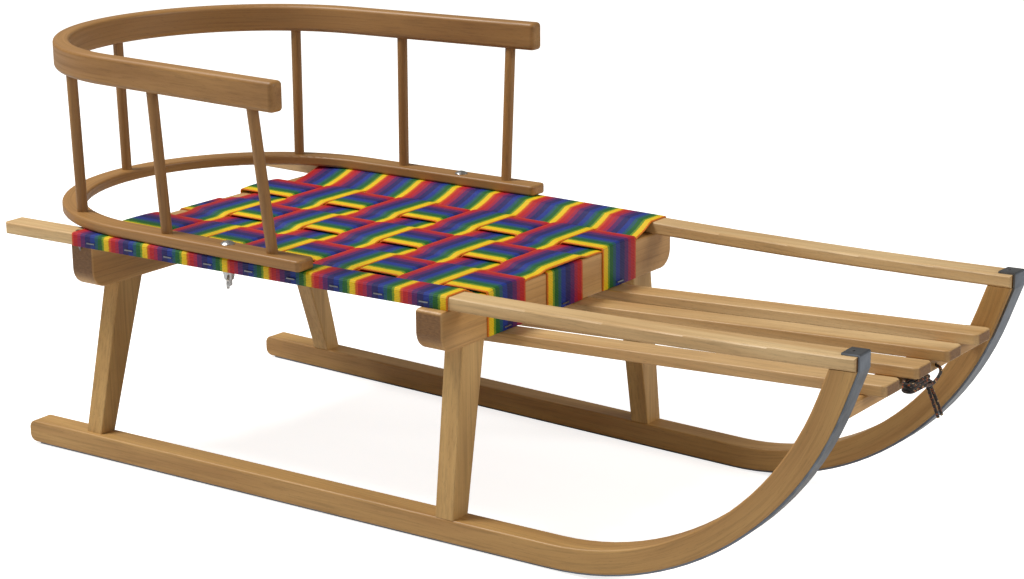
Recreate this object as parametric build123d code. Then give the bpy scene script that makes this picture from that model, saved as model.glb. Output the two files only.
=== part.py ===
"""Wooden toboggan with a woven webbing seat and a lift-off hoop backrest.

Units are millimetres.  X is the width, -Y is the front (the bent-up runner tips), +Z is up.
The origin is the middle of the footprint, on the ground.
Left and right parts are mirror images about the plane X = 0.
"""
from build123d import *
from math import atan, cos, degrees, pi, radians, sin, sqrt, tan
import os

# ---------------------------------------------------------------- driving dimensions
# side rails
RAIL_WIDTH = 26.0
RAIL_THICK = 12.5
RAIL_TOP = 241.0            # top of the level part of a rail
RAIL_FRONT_Y = -498.0
RAIL_REAR_Y = 455.0
RAIL_OUTER_HALF = 188.0     # half the width over both rails, at Y = 0
RAIL_TOE = 0.0453           # how much that half width grows per mm towards the rear
RAIL_RISE = 7.5             # the front end is sprung up this much
RAIL_EDGE = 2.0

# runners
RUNNER_WIDTH = 26.0
RUNNER_DEPTH = 23.0
RUNNER_REAR_Y = 450.0
RUNNER_OUTER_HALF = 183.0   # half the width over both runners, at Y = 0
RUNNER_TOE = 0.0359
BEND_RADIUS = 304.0         # underside of the steel strip
BEND_ANGLE = 70.0
RUNNER_EDGE = 2.0
RUNNER_HEEL = 8.0

# steel strips under the runners
STRIP_WIDTH = 20.0
STRIP_THICK = 2.0
STRIP_LAP = 15.0            # length folded onto the top of the rail
STRIP_HEEL_GAP = 12.0       # the strip stops this far before the runner's rear end

# crossbeams
FRONT_BEAM_Y = -99.0        # front faces
REAR_BEAM_Y = 349.0
BEAM_THICK = 30.0
FRONT_BEAM_HEIGHT = 40.0
REAR_BEAM_HEIGHT = 48.0
FRONT_BEAM_HALF = 194.0
REAR_BEAM_HALF = 190.0
BEAM_CORNER = 18.0
BEAM_EDGE = 2.0

# legs
LEG_THICK = 21.0
LEG_TOP_WIDTH = 34.0
FRONT_LEG_TOP_OUTER = 160.0
REAR_LEG_TOP_OUTER = 153.0
FRONT_LEG_FOOT_WIDTH = 24.0
REAR_LEG_FOOT_WIDTH = 20.5
REAR_LEG_FOOT_INSET = 5.0
LEG_EDGE = 1.5

# footrest slats and the bar under their front ends
SLAT_WIDTH = 28.5
SLAT_THICK = 10.5
SLAT_PITCH = 60.0
SLAT_COUNT = 4
SLAT_FRONT_Y = -495.0
SLAT_TILT = 2.8
SLAT_CORNER = 5.0
SLAT_EDGE = 1.5
BAR_FRONT_Y = -476.0
BAR_DEPTH = 24.0
BAR_HEIGHT = 13.0
BAR_END_GAP = 0.3

# webbing
WEB_THICK = 1.5
WEB_LAYER_GAP = 0.2
CROSS_WEB_COUNT = 9
CROSS_WEB_PITCH = 51.0
CROSS_WEB_WIDTH = 49.8
CROSS_WEB_FRONT_Y = -98.5
CROSS_WEB_RUN_DOWN = 36.0   # from the rail's inner edge down to the level of the seat
CROSS_WEB_OVERLAP = 38.0
LONG_WEB_WIDTH = 60.0
LONG_WEB_PITCH = 95.5
LONG_WEB_COUNT = 3

# backrest
LOWER_HOOP_RADIUS = 186.0   # centre lines
UPPER_HOOP_RADIUS = 189.0
HOOP_CENTRE_Y = 302.0
LOWER_HOOP_FLARE = 0.6
UPPER_HOOP_FLARE = 4.2
LOWER_HOOP_FRONT_Y = 63.0
UPPER_HOOP_FRONT_Y = 76.0
LOWER_HOOP_WIDTH = 24.0
LOWER_HOOP_THICK = 11.0
UPPER_HOOP_WIDTH = 17.0
UPPER_HOOP_HEIGHT = 29.0
UPPER_HOOP_BOTTOM = 394.5
HOOP_SEAT_GAP = 0.3
LOWER_HOOP_EDGE = 2.5
UPPER_HOOP_EDGE = 4.0
HOOP_END_CORNER = 5.0
SPINDLE_DIAMETER = 11.0
SPINDLE_SOCKET_LOWER = 7.0
SPINDLE_SOCKET_UPPER = 12.0
SPINDLE_FIT = 0.05
FRONT_SPINDLE_Y = 106.0
MIDDLE_SPINDLE_Y = 245.0
SPINDLE_FORWARD_RAKE = 4.0  # how much further back a side spindle's top is than its foot
CORNER_SPINDLE_ANGLE = 25.5

# bolts, washers and wing nuts of the backrest
BOLT_DIAMETER = 6.0
BOLT_X = 186.0
BOLT_Y = 165.0
BOLT_HEAD_DIAMETER = 14.0
BOLT_HEAD_HEIGHT = 3.4
BOLT_HOLE_CLEARANCE = 0.25
BOLT_END_BELOW_RAIL = 16.0
WASHER_DIAMETER = 14.0
WASHER_THICK = 1.4
NUT_HUB_TOP = 12.0
NUT_HUB_BOTTOM = 9.5
NUT_HUB_HEIGHT = 8.0
NUT_BORE_CLEARANCE = 0.08
NUT_SEAT_GAP = 0.2
NUT_TURN = 36.0             # angle from X at which the wings were left
WING_SPAN = 30.0
WING_DROP = 15.0
WING_THICK = 2.4
WING_TIP_RADIUS = 5.0

# screws and staples
SCREW_HEAD = 7.0
SCREW_SHANK = 3.5
SCREW_LENGTH = 22.0
SCREW_HEAD_DEPTH = 2.0
STAPLE_CROWN = 10.0
STAPLE_WIRE = 1.2
STAPLE_LEG = 8.0
STAPLE_UP_FROM_EDGE = 5.0

# pull cord
CORD_DIAMETER = 3.0
CORD_HOLE_CLEARANCE = 0.5
CORD_HOLE_DEPTH = 12.0
HANK_LENGTH = 42.0
HANK_DEPTH = 12.0
HANK_LAYERS = 4
HANK_X = -30.0
HANK_GAP = 4.5              # in front of the leaning face of the bar
HANK_TOP_GAP = 0.4
KNOT_DIAMETER = 9.6
KNOT_PLACE = (-1.5, -485.5, 181.5)

# ---------------------------------------------------------------- derived dimensions
RAIL_BOTTOM = RAIL_TOP - RAIL_THICK
BEND_TAN = tan(radians(BEND_ANGLE))
BEND_SIN = sin(radians(BEND_ANGLE))
BEND_COS = cos(radians(BEND_ANGLE))
RUNNER_TOP = STRIP_THICK + RUNNER_DEPTH
RISE_START_Y = FRONT_BEAM_Y - 3.0
RISE_RUN = RISE_START_Y - RAIL_FRONT_Y
RISE_RADIUS = (RISE_RUN ** 2 + RAIL_RISE ** 2) / (2 * RAIL_RISE)
HOOP_BOTTOM = RAIL_TOP + WEB_THICK + HOOP_SEAT_GAP
HOOP_TOP = HOOP_BOTTOM + LOWER_HOOP_THICK
SLAT_TAN = tan(radians(SLAT_TILT))
LONG_WEB_Z = RAIL_BOTTOM
CROSS_WEB_Z = LONG_WEB_Z + WEB_THICK + WEB_LAYER_GAP


def rise(y):
    """How far the rail has sprung up at y."""
    run = max(0.0, RISE_START_Y - y)
    return RISE_RADIUS - sqrt(RISE_RADIUS ** 2 - run ** 2)


def bend_centre_y():
    """Y of the bend's centre, so that the runner's wood meets the rail's front end."""
    wood_radius = BEND_RADIUS - STRIP_THICK
    arc_top = BEND_RADIUS - wood_radius * BEND_COS
    straight = (RAIL_BOTTOM + rise(RAIL_FRONT_Y) - arc_top) / BEND_TAN
    return RAIL_FRONT_Y + straight + wood_radius * BEND_SIN


BEND_Y = bend_centre_y()


def rail_outer(y):
    return RAIL_OUTER_HALF + RAIL_TOE * y


def runner_outer(y):
    return RUNNER_OUTER_HALF + RUNNER_TOE * y


# ---------------------------------------------------------------- helpers
def yz(y, z):
    return (0.0, y, z)


def loop_face(*edges):
    return make_face(Wire(list(edges)))


def polygon_yz(points):
    corners = [yz(y, z) for y, z in points]
    return make_face(Polyline(*corners, close=True))


def slab_x(face, low, high):
    """Extrudes a face drawn on X = 0 between two X values."""
    return Pos(low, 0, 0) * extrude(face, amount=high - low, dir=(1, 0, 0))


def to_side(shape, outer_half, toe):
    """Puts a shape built with its outer face on X = 0 onto the right side."""
    return Pos(outer_half, 0, 0) * Rot(0, 0, -degrees(atan(toe))) * shape


def mirrored(shape):
    return mirror(shape, about=Plane.YZ)


def long_edges(shape, low, high):
    """Edges that lie in the two end planes X = low and X = high."""
    kept = []
    for edge in shape.edges():
        box = edge.bounding_box()
        for plane in (low, high):
            if abs(box.min.X - plane) < 1e-4 and abs(box.max.X - plane) < 1e-4:
                kept.append(edge)
    return kept


def flat_box(x0, x1, y0, y1, z0, z1):
    return Pos((x0 + x1) / 2, (y0 + y1) / 2, (z0 + z1) / 2) * Box(x1 - x0, y1 - y0, z1 - z0)


def rounded_box(size, radius):
    box = Box(*size)
    return fillet(box.edges(), radius)


# ---------------------------------------------------------------- side frames
def rail_blank():
    """Right rail with its outer face on X = 0."""
    middle_y = (RISE_START_Y + RAIL_FRONT_Y) / 2
    top_rear = yz(RAIL_REAR_Y, RAIL_TOP)
    top_start = yz(RISE_START_Y, RAIL_TOP)
    top_middle = yz(middle_y, RAIL_TOP + rise(middle_y))
    top_front = yz(RAIL_FRONT_Y, RAIL_TOP + rise(RAIL_FRONT_Y))

    def under(point):
        return (point[0], point[1], point[2] - RAIL_THICK)

    face = loop_face(
        Line(top_rear, top_start),
        ThreePointArc(top_start, top_middle, top_front),
        Line(top_front, under(top_front)),
        ThreePointArc(under(top_front), under(top_middle), under(top_start)),
        Line(under(top_start), under(top_rear)),
        Line(under(top_rear), top_rear),
    )
    bar = slab_x(face, -RAIL_WIDTH, 0.0)
    return fillet(long_edges(bar, -RAIL_WIDTH, 0.0), RAIL_EDGE)


def bend_point(offset, angle):
    """Point of the bend at a depth from the strip's underside."""
    radius = BEND_RADIUS - offset
    return yz(BEND_Y - radius * sin(radians(angle)), BEND_RADIUS - radius * cos(radians(angle)))


def bend_top(offset):
    """Where the straight end of the bend meets the underside of the rail."""
    start = bend_point(offset, BEND_ANGLE)
    z = RAIL_BOTTOM + rise(RAIL_FRONT_Y)
    for _ in range(4):
        y = start[1] - (z - start[2]) / BEND_TAN
        z = RAIL_BOTTOM + rise(y)
    return yz(y, z)


def runner_blank():
    """Right runner with its outer face on X = 0, and its rear corners rounded."""
    low, high = STRIP_THICK, RUNNER_TOP
    face = loop_face(
        Line(yz(RUNNER_REAR_Y, low), yz(BEND_Y, low)),
        ThreePointArc(yz(BEND_Y, low), bend_point(low, BEND_ANGLE / 2), bend_point(low, BEND_ANGLE)),
        Line(bend_point(low, BEND_ANGLE), bend_top(low)),
        Line(bend_top(low), bend_top(high)),
        Line(bend_top(high), bend_point(high, BEND_ANGLE)),
        ThreePointArc(bend_point(high, BEND_ANGLE), bend_point(high, BEND_ANGLE / 2), yz(BEND_Y, high)),
        Line(yz(BEND_Y, high), yz(RUNNER_REAR_Y, high)),
        Line(yz(RUNNER_REAR_Y, high), yz(RUNNER_REAR_Y, low)),
    )
    bar = slab_x(face, -RUNNER_WIDTH, 0.0)
    heel = [e for e in bar.edges().filter_by(Axis.X) if e.center().Y > RUNNER_REAR_Y - 1]
    bar = fillet(heel, RUNNER_HEEL)
    kept = [e for e in long_edges(bar, -RUNNER_WIDTH, 0.0) if e.center().Z < RAIL_BOTTOM - 1]
    return fillet(kept, RUNNER_EDGE)


def strip_blank():
    """Steel strip with the runner's outer face on X = 0."""
    rear = RUNNER_REAR_Y - STRIP_HEEL_GAP
    t = STRIP_THICK
    nose_y = RAIL_FRONT_Y - t
    start = bend_point(0.0, BEND_ANGLE)
    nose_z = start[2] + (start[1] - nose_y) * BEND_TAN
    lap_y = RAIL_FRONT_Y + STRIP_LAP
    top_front = RAIL_TOP + rise(RAIL_FRONT_Y)
    top_lap = RAIL_TOP + rise(lap_y)
    face = loop_face(
        Line(yz(rear, 0), yz(BEND_Y, 0)),
        ThreePointArc(yz(BEND_Y, 0), bend_point(0, BEND_ANGLE / 2), start),
        Line(start, yz(nose_y, nose_z)),
        Line(yz(nose_y, nose_z), yz(nose_y, top_front + t)),
        Line(yz(nose_y, top_front + t), yz(lap_y, top_lap + t)),
        Line(yz(lap_y, top_lap + t), yz(lap_y, top_lap)),
        Line(yz(lap_y, top_lap), yz(RAIL_FRONT_Y, top_front)),
        Line(yz(RAIL_FRONT_Y, top_front), bend_top(t)),
        Line(bend_top(t), bend_point(t, BEND_ANGLE)),
        ThreePointArc(bend_point(t, BEND_ANGLE), bend_point(t, BEND_ANGLE / 2), yz(BEND_Y, t)),
        Line(yz(BEND_Y, t), yz(rear, t)),
        Line(yz(rear, t), yz(rear, 0)),
    )
    inset = (RUNNER_WIDTH - STRIP_WIDTH) / 2
    strip = slab_x(face, -inset - STRIP_WIDTH, -inset)
    crown = [e for e in strip.edges().filter_by(Axis.X)
             if abs(e.center().Y - nose_y) < 0.01 and e.center().Z > top_front]
    return fillet(crown, STRIP_THICK * 0.9)


# ---------------------------------------------------------------- fasteners
def screw_body():
    """Countersunk screw without its cross slot, head on Z = 0 and point down."""
    profile = Polyline(
        (0, 0, 0),
        (SCREW_HEAD / 2, 0, 0),
        (SCREW_SHANK / 2, 0, -SCREW_HEAD_DEPTH),
        (SCREW_SHANK / 2, 0, -SCREW_LENGTH + 5),
        (0, 0, -SCREW_LENGTH),
        close=True,
    )
    return revolve(make_face(profile), Axis.Z, 360)


def wood_screw():
    slot = Box(SCREW_HEAD * 0.6, 0.9, 1.6) + Box(0.9, SCREW_HEAD * 0.6, 1.6)
    return screw_body() - slot


def strip_screws(screw):
    """One through each lap into the rail, three up through each strip into the runner."""
    inset = -RUNNER_WIDTH / 2
    lap_mid = RAIL_FRONT_Y + STRIP_LAP * 0.55
    lap_z = RAIL_TOP + rise(lap_mid) + STRIP_THICK
    # a small amount under the sheet's face keeps the heads off the ground
    sunk = 0.3
    blanks = [Pos(inset, lap_mid, lap_z) * screw]
    for y in (RUNNER_REAR_Y - 40, 120.0, BEND_Y + 15):
        blanks.append(Pos(inset, y, sunk) * Rot(180, 0, 0) * screw)
    right = [to_side(b, RUNNER_OUTER_HALF, RUNNER_TOE) for b in blanks]
    return right + [mirrored(b) for b in right]


def staple():
    """Crown along Z on X = 0, its legs pointing to -X."""
    half = STAPLE_CROWN / 2
    crown = flat_box(0, STAPLE_WIRE, -STAPLE_WIRE / 2, STAPLE_WIRE / 2, -half, half)
    legs = []
    for end in (-1, 1):
        z = end * (half - STAPLE_WIRE / 2)
        legs.append(flat_box(-STAPLE_LEG, 0, -STAPLE_WIRE / 2, STAPLE_WIRE / 2,
                             z - STAPLE_WIRE / 2, z + STAPLE_WIRE / 2))
    return crown + legs


def strap_staples():
    """One staple in every end of every strap."""
    found = []
    side_z = (RAIL_TOP + RAIL_BOTTOM) / 2
    flat = Rot(90, 0, 0) * staple()
    for index in range(CROSS_WEB_COUNT):
        y = cross_web_y(index)
        face = to_side(Pos(WEB_THICK, y, side_z - 1) * flat, RAIL_OUTER_HALF, RAIL_TOE)
        found += [face, mirrored(face)]
    for index in range(LONG_WEB_COUNT):
        x = long_web_x(index)
        front_z = RAIL_BOTTOM - FRONT_BEAM_HEIGHT + STAPLE_UP_FROM_EDGE
        rear_z = RAIL_BOTTOM - REAR_BEAM_HEIGHT + STAPLE_UP_FROM_EDGE
        lying = Rot(0, 0, -90) * flat
        found.append(Pos(x, FRONT_BEAM_Y - WEB_THICK, front_z) * lying)
        found.append(Pos(x, REAR_BEAM_Y + BEAM_THICK + WEB_THICK, rear_z) * Rot(0, 0, 180) * lying)
    return found


def rail_screws(screw):
    """Screws down through the rails into the crossbeams, under the webbing."""
    found = []
    for beam_y in (FRONT_BEAM_Y, REAR_BEAM_Y):
        y = beam_y + BEAM_THICK / 2
        x = rail_outer(y) - RAIL_WIDTH / 2
        placed = Pos(x, y, RAIL_TOP) * screw
        found += [placed, mirrored(placed)]
    return found


# ---------------------------------------------------------------- crossbeams and legs
def crossbeam(front_y, height, half):
    top = RAIL_BOTTOM
    block = flat_box(-half, half, front_y, front_y + BEAM_THICK, top - height, top)
    ends = block.edges().filter_by(Axis.Y)
    lower = [e for e in ends if e.center().Z < top - height / 2]
    block = fillet(lower, BEAM_CORNER)
    upper = [e for e in block.edges().filter_by(Axis.Y) if e.center().Z > top - 1]
    block = fillet(upper, BEAM_EDGE * 2)
    front = [e for e in block.edges() if e.bounding_box().size.Y < 1e-4]
    return fillet(front, BEAM_EDGE)


def leg(front_y, top_z, top_outer, foot_outer, foot_width):
    """Leg on the right side: wider at its top, its foot spread outwards."""
    foot_z = RUNNER_TOP
    corners = [
        (top_outer, front_y, top_z),
        (top_outer - LEG_TOP_WIDTH, front_y, top_z),
        (foot_outer - foot_width, front_y, foot_z),
        (foot_outer, front_y, foot_z),
    ]
    face = make_face(Polyline(*corners, close=True))
    solid = extrude(face, amount=LEG_THICK, dir=(0, 1, 0))
    upright = [e for e in solid.edges() if e.bounding_box().size.Z > 10]
    return fillet(upright, LEG_EDGE)


def legs():
    front_foot = runner_outer(FRONT_BEAM_Y + 2)
    rear_foot = runner_outer(REAR_BEAM_Y) - REAR_LEG_FOOT_INSET
    front = leg(FRONT_BEAM_Y + 2, RAIL_BOTTOM - FRONT_BEAM_HEIGHT,
                FRONT_LEG_TOP_OUTER, front_foot, FRONT_LEG_FOOT_WIDTH)
    rear = leg(REAR_BEAM_Y + 2, RAIL_BOTTOM - REAR_BEAM_HEIGHT,
               REAR_LEG_TOP_OUTER, rear_foot, REAR_LEG_FOOT_WIDTH)
    return {"front_leg_right": front, "front_leg_left": mirrored(front),
            "rear_leg_right": rear, "rear_leg_left": mirrored(rear)}


# ---------------------------------------------------------------- footrest
def tilted(shape):
    """Turns a shape about the front beam's lower front edge, front end up."""
    hinge = (0, FRONT_BEAM_Y, RAIL_BOTTOM - FRONT_BEAM_HEIGHT)
    return Pos(*hinge) * Rot(-SLAT_TILT, 0, 0) * shape


def slat(x):
    front = SLAT_FRONT_Y - FRONT_BEAM_Y
    rear = BEAM_THICK
    board = flat_box(x - SLAT_WIDTH / 2, x + SLAT_WIDTH / 2, front, rear, -SLAT_THICK, 0)
    corners = [e for e in board.edges().filter_by(Axis.Z) if e.center().Y < front + 1]
    board = fillet(corners, SLAT_CORNER)
    rims = [e for e in board.edges() if e.bounding_box().size.Z < 1e-4 and e.center().Y < rear - 1]
    return tilted(fillet(rims, SLAT_EDGE))


def slat_x(index):
    return (index - (SLAT_COUNT - 1) / 2) * SLAT_PITCH


def bar_half():
    return runner_outer(BAR_FRONT_Y) - RUNNER_WIDTH - BAR_END_GAP


def front_crossbar():
    front = BAR_FRONT_Y - FRONT_BEAM_Y
    half = bar_half()
    bar = flat_box(-half, half, front, front + BAR_DEPTH, -SLAT_THICK - BAR_HEIGHT, -SLAT_THICK)
    rims = bar.edges().filter_by(Axis.X)
    return tilted(fillet(rims, 2.5))


def slat_screws(screw):
    """Screws up through the slats into the front beam, and up through the bar into the slats."""
    found = []
    up = Rot(180, 0, 0) * screw
    reach = 0.75
    for index in range(SLAT_COUNT):
        x = slat_x(index)
        found.append(tilted(Pos(x, BEAM_THICK / 2, -SLAT_THICK) * up))
        bar_y = BAR_FRONT_Y - FRONT_BEAM_Y + BAR_DEPTH / 2
        short = scale(up, by=(1, 1, reach))
        found.append(tilted(Pos(x, bar_y, -SLAT_THICK - BAR_HEIGHT) * short))
    return found


# ---------------------------------------------------------------- webbing seat
def cross_web_y(index):
    """Centre of a strap that runs from rail to rail, counted from the front."""
    return CROSS_WEB_FRONT_Y + CROSS_WEB_WIDTH / 2 + index * CROSS_WEB_PITCH


def long_web_x(index):
    return (index - (LONG_WEB_COUNT - 1) / 2) * LONG_WEB_PITCH


def web_sleeve():
    """Section of a cross strap over the right rail, run along the whole rail."""
    t = WEB_THICK
    seat = CROSS_WEB_Z
    inner = -RAIL_WIDTH
    foot = inner - CROSS_WEB_RUN_DOWN
    end = foot - CROSS_WEB_OVERLAP
    points = [
        (0, RAIL_BOTTOM), (t, RAIL_BOTTOM), (t, RAIL_TOP + t), (inner - t / 4, RAIL_TOP + t),
        (foot, seat + t), (end, seat + t), (end, seat), (foot - t / 4, seat),
        (inner, RAIL_TOP), (0, RAIL_TOP),
    ]
    start_y = CROSS_WEB_FRONT_Y - 20
    face = make_face(Polyline(*[(x, start_y, z) for x, z in points], close=True))
    length = CROSS_WEB_COUNT * CROSS_WEB_PITCH + 40
    return to_side(extrude(face, amount=length, dir=(0, 1, 0)), RAIL_OUTER_HALF, RAIL_TOE)


def cross_webs():
    right = web_sleeve()
    left = mirrored(right)
    reach = rail_outer(CROSS_WEB_FRONT_Y) - RAIL_WIDTH - CROSS_WEB_RUN_DOWN - 4
    straps = []
    for index in range(CROSS_WEB_COUNT):
        y = cross_web_y(index)
        low, high = y - CROSS_WEB_WIDTH / 2, y + CROSS_WEB_WIDTH / 2
        slab = flat_box(-300, 300, low, high, 0, 400)
        centre = flat_box(-reach, reach, low, high, CROSS_WEB_Z, CROSS_WEB_Z + WEB_THICK)
        straps.append((slab & right) + (slab & left) + centre)
    return straps


def long_webs():
    t = WEB_THICK
    front, rear = FRONT_BEAM_Y, REAR_BEAM_Y + BEAM_THICK
    top = LONG_WEB_Z
    front_low = RAIL_BOTTOM - FRONT_BEAM_HEIGHT + 1
    rear_low = RAIL_BOTTOM - REAR_BEAM_HEIGHT + 1
    face = polygon_yz([
        (front, front_low), (front, top), (rear, top), (rear, rear_low),
        (rear + t, rear_low), (rear + t, top + t), (front - t, top + t), (front - t, front_low),
    ])
    straps = []
    for index in range(LONG_WEB_COUNT):
        x = long_web_x(index)
        straps.append(slab_x(face, x - LONG_WEB_WIDTH / 2, x + LONG_WEB_WIDTH / 2))
    return straps


# ---------------------------------------------------------------- backrest
def hoop_side(radius, flare, front_y):
    """Tangent point and front end of one leg of a hoop's line, on the right side."""
    angle = radians(flare)
    tangent = (radius * cos(angle), HOOP_CENTRE_Y + radius * sin(angle))
    front = (tangent[0] + (tangent[1] - front_y) * tan(angle), front_y)
    return tangent, front


def hoop(radius, flare, front_y, width, bottom, height, edge):
    lines = {}
    for name, r in (("outer", radius + width / 2), ("inner", radius - width / 2)):
        lines[name] = (r, *hoop_side(r, flare, front_y))

    def at(point, side):
        return (side * point[0], point[1], bottom)

    r_out, t_out, f_out = lines["outer"]
    r_in, t_in, f_in = lines["inner"]
    apex_out = (0, HOOP_CENTRE_Y + r_out, bottom)
    apex_in = (0, HOOP_CENTRE_Y + r_in, bottom)
    face = loop_face(
        Line(at(f_out, 1), at(t_out, 1)),
        ThreePointArc(at(t_out, 1), apex_out, at(t_out, -1)),
        Line(at(t_out, -1), at(f_out, -1)),
        Line(at(f_out, -1), at(f_in, -1)),
        Line(at(f_in, -1), at(t_in, -1)),
        ThreePointArc(at(t_in, -1), apex_in, at(t_in, 1)),
        Line(at(t_in, 1), at(f_in, 1)),
        Line(at(f_in, 1), at(f_out, 1)),
    )
    solid = extrude(face, amount=height, dir=(0, 0, 1))
    ends = [e for e in solid.edges().filter_by(Axis.Z) if e.center().Y < front_y + 1]
    solid = fillet(ends, min(HOOP_END_CORNER, width * 0.3))
    rims = [e for e in solid.edges() if e.bounding_box().size.Z < 1e-4]
    return fillet(rims, edge)


def lower_hoop_x(y):
    tangent, front = hoop_side(LOWER_HOOP_RADIUS, LOWER_HOOP_FLARE, LOWER_HOOP_FRONT_Y)
    return tangent[0] + (tangent[1] - y) * tan(radians(LOWER_HOOP_FLARE))


def upper_hoop_x(y):
    tangent, front = hoop_side(UPPER_HOOP_RADIUS, UPPER_HOOP_FLARE, UPPER_HOOP_FRONT_Y)
    return tangent[0] + (tangent[1] - y) * tan(radians(UPPER_HOOP_FLARE))


def spindle_ends():
    """Foot and head of each spindle, where its axis meets the hoops' facing surfaces."""
    ends = {}
    for name, y in (("front", FRONT_SPINDLE_Y), ("middle", MIDDLE_SPINDLE_Y)):
        head_y = y + SPINDLE_FORWARD_RAKE
        foot = (lower_hoop_x(y), y, HOOP_TOP)
        head = (upper_hoop_x(head_y), head_y, UPPER_HOOP_BOTTOM)
        ends[name] = (foot, head)
    turn = radians(CORNER_SPINDLE_ANGLE)
    corner = []
    for radius, z in ((LOWER_HOOP_RADIUS, HOOP_TOP), (UPPER_HOOP_RADIUS, UPPER_HOOP_BOTTOM)):
        corner.append((radius * cos(turn), HOOP_CENTRE_Y + radius * sin(turn), z))
    ends["corner"] = tuple(corner)
    placed = {}
    for name, (foot, head) in ends.items():
        placed["spindle_" + name + "_right"] = (foot, head)
        flipped = tuple((-p[0], p[1], p[2]) for p in (foot, head))
        placed["spindle_" + name + "_left"] = flipped
    centre_foot = (0, HOOP_CENTRE_Y + LOWER_HOOP_RADIUS, HOOP_TOP)
    centre_head = (0, HOOP_CENTRE_Y + UPPER_HOOP_RADIUS, UPPER_HOOP_BOTTOM)
    placed["spindle_rear"] = (centre_foot, centre_head)
    return placed


def rod(foot, head, radius, below, above):
    """Round rod along foot-head, run on below the foot and above the head."""
    axis = (Vector(*head) - Vector(*foot)).normalized()
    start = Vector(*foot) - axis * below
    length = (Vector(*head) - Vector(*foot)).length + below + above
    return Plane(origin=start, z_dir=axis) * Cylinder(
        radius, length, align=(Align.CENTER, Align.CENTER, Align.MIN))


def bolt_places():
    return [(BOLT_X, BOLT_Y), (-BOLT_X, BOLT_Y)]


def bolt_holes(extra):
    cylinders = []
    for x, y in bolt_places():
        hole = Cylinder(BOLT_DIAMETER / 2 + extra, 120)
        cylinders.append(Pos(x, y, RAIL_TOP) * hole)
    return cylinders


def carriage_bolt():
    """Bolt with a domed head, the head's underside on Z = 0."""
    r, h = BOLT_HEAD_DIAMETER / 2, BOLT_HEAD_HEIGHT
    rim = 0.6
    tip = RAIL_BOTTOM - BOLT_END_BELOW_RAIL - HOOP_TOP
    shank = BOLT_DIAMETER / 2
    dome = ThreePointArc((0, 0, h), (r * 0.62, 0, h * 0.72), (r, 0, rim))
    face = loop_face(
        dome,
        Line((r, 0, rim), (r, 0, 0)),
        Line((r, 0, 0), (shank, 0, 0)),
        Line((shank, 0, 0), (shank, 0, tip + 0.8)),
        Line((shank, 0, tip + 0.8), (shank - 0.8, 0, tip)),
        Line((shank - 0.8, 0, tip), (0, 0, tip)),
        Line((0, 0, tip), (0, 0, h)),
    )
    return revolve(face, Axis.Z, 360)


def washer():
    ring = Cylinder(WASHER_DIAMETER / 2, WASHER_THICK)
    return ring - Cylinder(BOLT_DIAMETER / 2 + BOLT_HOLE_CLEARANCE, WASHER_THICK * 2)


def wing_nut():
    """Wing nut hanging under Z = 0, its wings spread along X."""
    hub = Pos(0, 0, -NUT_HUB_HEIGHT) * Cone(
        NUT_HUB_BOTTOM / 2, NUT_HUB_TOP / 2, NUT_HUB_HEIGHT,
        align=(Align.CENTER, Align.CENTER, Align.MIN))
    inner = NUT_HUB_TOP / 2 - 2.5
    tip = WING_SPAN / 2
    r = WING_TIP_RADIUS
    outline = make_face(Polyline(
        (inner, 0, -1.5),
        (tip - r, 0, -WING_DROP + 2 * r),
        (tip - r, 0, -WING_DROP + 0.5),
        (inner, 0, -NUT_HUB_HEIGHT + 0.5),
        close=True))
    disc = Pos(tip - r, WING_THICK / 2, -WING_DROP + r) * Rot(90, 0, 0) * Cylinder(
        r, WING_THICK, align=(Align.CENTER, Align.CENTER, Align.MIN))
    web = Pos(0, -WING_THICK / 2, 0) * extrude(outline, amount=WING_THICK, dir=(0, 1, 0))
    wing = web + disc
    bore = Cylinder(BOLT_DIAMETER / 2 + NUT_BORE_CLEARANCE, 60)
    return hub + wing + mirrored(wing) - bore


# ---------------------------------------------------------------- pull cord
def hank_place():
    """Middle of the hank, in front of the bar and just under the slats, and its height."""
    y = BAR_FRONT_Y - HANK_GAP - HANK_DEPTH / 2
    drop = SLAT_THICK / cos(radians(SLAT_TILT))
    run = FRONT_BEAM_Y - y - HANK_DEPTH / 2
    slat_under = RAIL_BOTTOM - FRONT_BEAM_HEIGHT + run * SLAT_TAN - drop
    height = HANK_LAYERS * CORD_DIAMETER
    return HANK_X, y, slat_under - HANK_TOP_GAP - height / 2, height


def cord_hank():
    x, y, z, height = hank_place()
    outline = SlotOverall(HANK_LENGTH, HANK_DEPTH)
    return Pos(x, y, z - height / 2) * extrude(outline, amount=height)


def cord_line(points):
    """Line through the points with each corner as round as its two runs allow."""
    vectors = [Vector(*p) for p in points]
    radii = []
    for before, here, after in zip(vectors, vectors[1:], vectors[2:]):
        turn = radians((here - before).get_angle(after - here))
        shorter = min((here - before).length, (after - here).length)
        radii.append(0.45 * shorter / tan(turn / 2))
    print("cord radii", [round(r, 1) for r in radii])
    return FilletPolyline(*points, radius=radii)


def cord_tube(points):
    path = cord_line(points)
    profile = Plane(origin=path @ 0, z_dir=path % 0) * Circle(CORD_DIAMETER / 2)
    tube = sweep(profile, path=path)
    expected = path.length * pi * CORD_DIAMETER ** 2 / 4
    print("cord run %.1f mm, volume over section times length %.4f" % (path.length, tube.volume / expected))
    return tube


# points chosen by hand: out of the hole in the bar and across to the knot
LEAD_ROUTE = [
    (30.0, -473.5, 188.9), (30.0, -480.4, 188.9), (25.0, -487.0, 187.4),
    (14.0, -487.0, 184.4), (1.5, -485.6, 182.0),
]
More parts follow.
